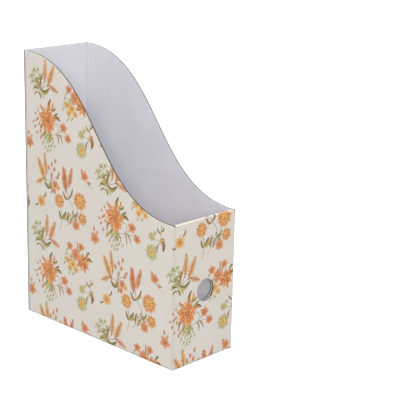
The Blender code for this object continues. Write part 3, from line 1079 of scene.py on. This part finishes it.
def walls():
    rear, front = FLAP_SHIFT + FOLD, U_FRONT - FOLD
    crossing = bottom_high.y + GAP
    top = [(Y_OUT - y, z) for y, z in rim() if Y_OUT - y > rear + NOTCH_DEPTH + 1.0]
    turns = [math.pi / 2 * step / NOTCH_STEPS for step in range(NOTCH_STEPS + 1)]
    notch = [(rear + NOTCH_DEPTH * math.cos(turn), HEIGHT - NOTCH_DROP * math.sin(turn)) for turn in turns]
    outline = wall_foot(rear, Y_OUT - crossing, Y_OUT + crossing, front)
    outline += [(front, FRONT_HEIGHT)] + top + notch
    creases = ((rear, front), (WALL_FOOT,))
    Sheet("left_side", ["left_side_panel"], "sleeve", outline, left_wall, creases).build()

    left, right = U_FRONT + FOLD, U_RIGHT - FOLD
    low, high = dust_low.x - GAP, dust_high.x + GAP
    shoulder, top = FRONT_HEIGHT - GAP, front_high.z
    reach = band_high.x + GAP
    outline = wall_foot(left, FRONT_MIDDLE + low, FRONT_MIDDLE + high, right) + [
        (right, shoulder), (FRONT_MIDDLE + reach, shoulder), (FRONT_MIDDLE + reach, top),
        (FRONT_MIDDLE - reach, top), (FRONT_MIDDLE - reach, shoulder), (left, shoulder),
    ]
    hole = (FRONT_MIDDLE + HOLE_SLIP[0], HOLE_HEIGHT, HOLE_RADIUS)
    creases = ((left, right), (WALL_FOOT, top))
    Sheet("front", ["front_panel"], "sleeve", outline, front_wall, creases, hole).build()

    front, rear = U_RIGHT + FOLD, U_BACK - FOLD
    outline = [(front, 0.0), (rear, 0.0), (rear, HEIGHT)]
    outline += [(U_RIGHT + Y_OUT + y, z) for y, z in reversed(rim())] + [(front, FRONT_HEIGHT)]
    Sheet("right_side", ["right_side_panel"], "sleeve", outline, right_wall, ((front, rear), ())).build()

    right, left = U_BACK + FOLD, BACK_MIDDLE + X_OUT
    outline = wall_foot(right, BACK_MIDDLE - high, BACK_MIDDLE - low, left)
    outline += [(left, HEIGHT), (right, HEIGHT)]
    Sheet("back", ["back_panel"], "sleeve", outline, back_wall, ((right,), (WALL_FOOT,))).build()

    end, crease = FLAP_SHIFT - X_OUT - flap_high.x, FLAP_SHIFT - FOLD
    outline = [
        (end, flap_low.z + GLUE_FLAP_SLOPE), (crease, flap_low.z),
        (crease, flap_high.z), (end, flap_high.z - GLUE_FLAP_SLOPE),
    ]
    Sheet("glue_flap", ["glue_flap"], "sleeve", outline, glue_wall, ((crease,), ())).build()


def corner_folds():
    """The four corners that stay folded."""
    side, near = X_OUT - FOLD, -Y_OUT + FOLD
    up = lambda u, v: Z * v
    corners = (
        ("front_left", (-side, near), -X, -Y, U_FRONT, FRONT_HEIGHT - GAP),
        ("front_right", (side, near), -Y, X, U_RIGHT, FRONT_HEIGHT - GAP),
        ("back_right", (side, -near), X, Y, U_BACK, HEIGHT),
        ("back_left", (-side, FLAP_OUT - FOLD), Y, -X, FLAP_SHIFT, HEIGHT - NOTCH_DROP),
    )
    for name, (x, y), first, second, corner, top in corners:
        span = (corner - FOLD, corner + FOLD)
        place = bend((x, y, 0.0), first, second, FOLD, 0, span, up)
        outline = rectangle(span[0], 0.0, span[1], top)
        lines = crease_lines(0, span, (0.0, top))
        Sheet(name, [name + "_fold"], "sleeve", outline, place, lines=lines).build_crease()


def moving_crease(name, node, bodies, centre, first, second, span, along, run):
    """A crease on a quarter ring between two panels; the piece is baked where it lies and keeps to neither of
    them.
    """
    centre = Vector(centre)
    place = bend(centre, first, second, BEND, 1, span, run)
    outline = rectangle(along[0], span[0], along[1], span[1])
    rider = (*bodies, centre + first * BEND, centre + second * BEND)
    Sheet(name, [node], rider, outline, place, lines=crease_lines(1, span, along)).build_crease()


def rolled_front():
    across = lambda u, v: X * (u - FRONT_MIDDLE)
    level = FRONT_HEIGHT - BEND  # height of both hinge axes
    start, end = FRONT_HEIGHT + BEND, FRONT_HEIGHT + ROLL - BEND
    left, right = FRONT_MIDDLE + band_low.x, FRONT_MIDDLE + band_high.x
    outline = rectangle(left, start, right, end)
    Sheet("band", ["front_top_band"], "top_band", outline, band_place, ((), (start, end))).build()
    centre = (0.0, -Y_OUT + BEND, level)
    moving_crease("band_front", "front_top_band", ("sleeve", "top_band"), centre, -Y, Z,
                  (level, start), (left, right), across)

    left, right = FRONT_MIDDLE + inner_low.x, FRONT_MIDDLE + inner_high.x
    centre = (0.0, -Y_OUT + ROLL - BEND, level)
    moving_crease("band_rear", "front_top_band", ("top_band", "inner_front"), centre, Z, Y,
                  (end, TURN), (left, right), across)
    outline = rectangle(left, TURN, right, MIRROR - inner_low.z)
    hole = (FRONT_MIDDLE + HOLE_SLIP[1], MIRROR - HOLE_HEIGHT, HOLE_RADIUS)
    creases = ((), (TURN,))
    Sheet("inner_front", ["inner_front_panel"], "inner_front", outline, inner_place, creases, hole).build()


def bottom():
    back = lambda u, v: Y * (Y_OUT - u)
    low, high = Y_OUT - bottom_high.y, Y_OUT - bottom_low.y
    left, right = -BEND, -(bottom_high.x + X_OUT)
    outline = rectangle(low, right, high, left)
    Sheet("bottom", ["bottom_panel"], "bottom_closure", outline, bottom_place, ((), (left, right))).build()
    centre = (-X_OUT + BEND, 0.0, BEND)
    moving_crease("bottom_left", "bottom_panel", ("sleeve", "bottom_closure"), centre, -Z, -X,
                  (left, BEND), (low, high), back)

    base = -(tab_high.x + X_OUT)
    start, top = base - BEND, base - tab_high.z
    outline = [(low + TAB_TAPER, top), (high - TAB_TAPER, top), (high, start), (low, start)]
    Sheet("tuck", ["tuck_tab"], "tuck", outline, tab_place, ((), (start,))).build()
    centre = (tab_high.x - BEND, 0.0, BEND)
    moving_crease("bottom_right", "tuck_tab", ("bottom_closure", "tuck"), centre, X, -Z,
                  (start, right), (low, high), back)


def dust_flaps():
    flaps = (
        ("front_dust", FRONT_MIDDLE, 1, front_dust_place, -Y),
        ("back_dust", BACK_MIDDLE, -1, back_dust_place, Y),
    )
    length = dust_high.y + Y_IN
    end = -(BOARD + length)
    rows = [float(v) for v in np.linspace(-BOARD - DUST_STEP[1], -BOARD - DUST_STEP[0], DUST_ROWS)]
    for name, middle, turn, place, out in flaps:
        near, far = middle + turn * dust_low.x, middle + turn * dust_high.x
        slope = middle + turn * (dust_low.x + length - GAP)
        across = lambda u, v: X * (turn * (u - middle))
        outline = [(near, -BEND), (slope, end), (far, end), (far, -BEND)][::turn]
        Sheet(name, [name + "_flap"], name, outline, place, ((), (-BEND,)), rows=rows).build()
        centre = out * (Y_OUT - BEND) + Z * BEND
        moving_crease(name, name + "_flap", ("sleeve", name), centre, -Z, out,
                      (-BEND, BEND), sorted((near, far)), across)


def glue_line():
    """The thin line of glue stays as it is in the CAD, and only gets its material."""
    node = next(o for o in bpy.context.scene.objects if o.name == "glue_seam")
    node.data.materials.clear()
    node.data.materials.append(GLUE)


# ---- studio

WORLD_COLOUR, WORLD_STRENGTH = (0.97, 0.985, 1.0, 1.0), 0.54
FLOOR_SIDE = 30.0  # metres from the middle to each side
FLOOR_DROP = 0.0004  # keeps the floor off the faces of the file's underside
FLOOR_GLOW = 0.55  # the floor shines white all round the file, but not under it
GLOW_INSET = 1.0  # and the glow starts this far inside the walls
LAMP_AIM = Vector((0.0, 0.0, 0.15))
LAMP_COLOUR = (1.0, 0.99, 0.98)
LAMPS = (  # name, place, width and power
    ("overhead", (-0.1, 0.05, 2.4), 2.0, 38.0),
    ("key", (-1.7, -1.8, 1.0), 0.9, 27.0),
)
CAMERA_PLACE = (-0.89461, -0.95769, 0.53477)
CAMERA_AIM = (0.69951, 0.65930, -0.27571)
CAMERA_ROLL = 1.38  # degrees
LENS, SENSOR_WIDTH = 106.76, 36.0


def surroundings():
    scene = bpy.context.scene
    world = bpy.data.worlds.new("studio")
    world.use_nodes = True
    background = world.node_tree.nodes["Background"].inputs
    background["Color"].default_value = WORLD_COLOUR
    background["Strength"].default_value = WORLD_STRENGTH
    scene.world = world
    scene.view_settings.view_transform = "Standard"


def floor_material():
    n = Nodes("floor")
    place = n.split(n.place())
    beyond = [n.math("SUBTRACT", n.math("ABSOLUTE", place[axis]), (reach - GLOW_INSET) * MM)
              for axis, reach in (("X", X_OUT), ("Y", Y_OUT))]
    outside = n.math("GREATER_THAN", n.math("MAXIMUM", *beyond))
    glow = n.product(outside, FLOOR_GLOW)
    n.fill(n.shader, {"Base Color": (0.93, 0.93, 0.93, 1.0), "Roughness": 0.9,
                      "Emission Color": (1.0, 1.0, 1.0, 1.0), "Emission Strength": glow})
    below = n.add("ShaderNodeNewGeometry").outputs["Backfacing"]
    clear = n.add("ShaderNodeBsdfTransparent")
    mix = n.add("ShaderNodeMixShader", {"Fac": below, 1: n.shader.outputs["BSDF"], 2: clear.outputs["BSDF"]})
    n.tree.links.new(mix.outputs[0], n.tree.nodes["Material Output"].inputs["Surface"])
    return n.material


def floor():
    """A pale floor that can't be seen from below."""
    mesh = bpy.data.meshes.new("floor")
    corners = rectangle(-FLOOR_SIDE, -FLOOR_SIDE, FLOOR_SIDE, FLOOR_SIDE)
    mesh.from_pydata([(x, y, 0.0) for x, y in corners], [], [(0, 1, 2, 3)])
    item = bpy.data.objects.new("floor", mesh)
    item.location.z = -FLOOR_DROP
    bpy.context.scene.collection.objects.link(item)
    mesh.materials.append(floor_material())
    item.visible_diffuse = False  # no glow from below: the walls are as even as in the photograph


def add_aimed(name, data, place, turn):
    item = bpy.data.objects.new(name, data)
    item.location = place
    item.rotation_mode = "QUATERNION"
    item.rotation_quaternion = turn
    bpy.context.scene.collection.objects.link(item)
    return item


def lamps():
    for name, place, width, power in LAMPS:
        lamp = bpy.data.lights.new(name, "AREA")
        lamp.shape = "DISK"
        lamp.size, lamp.energy, lamp.color = width, power, LAMP_COLOUR
        add_aimed(name, lamp, place, (LAMP_AIM - Vector(place)).to_track_quat("-Z", "Y"))


def camera():
    """The photograph's view: a long lens from the front left, a little above, leaning by one degree."""
    lens = bpy.data.cameras.new("camera")
    lens.lens, lens.sensor_width = LENS, SENSOR_WIDTH
    turn = Vector(CAMERA_AIM).to_track_quat("-Z", "Y") @ Quaternion(Z, math.radians(CAMERA_ROLL))
    bpy.context.scene.camera = add_aimed("camera", lens, CAMERA_PLACE, turn)


walls()
corner_folds()
rolled_front()
bottom()
dust_flaps()
glue_line()
surroundings()
floor()
lamps()
camera()
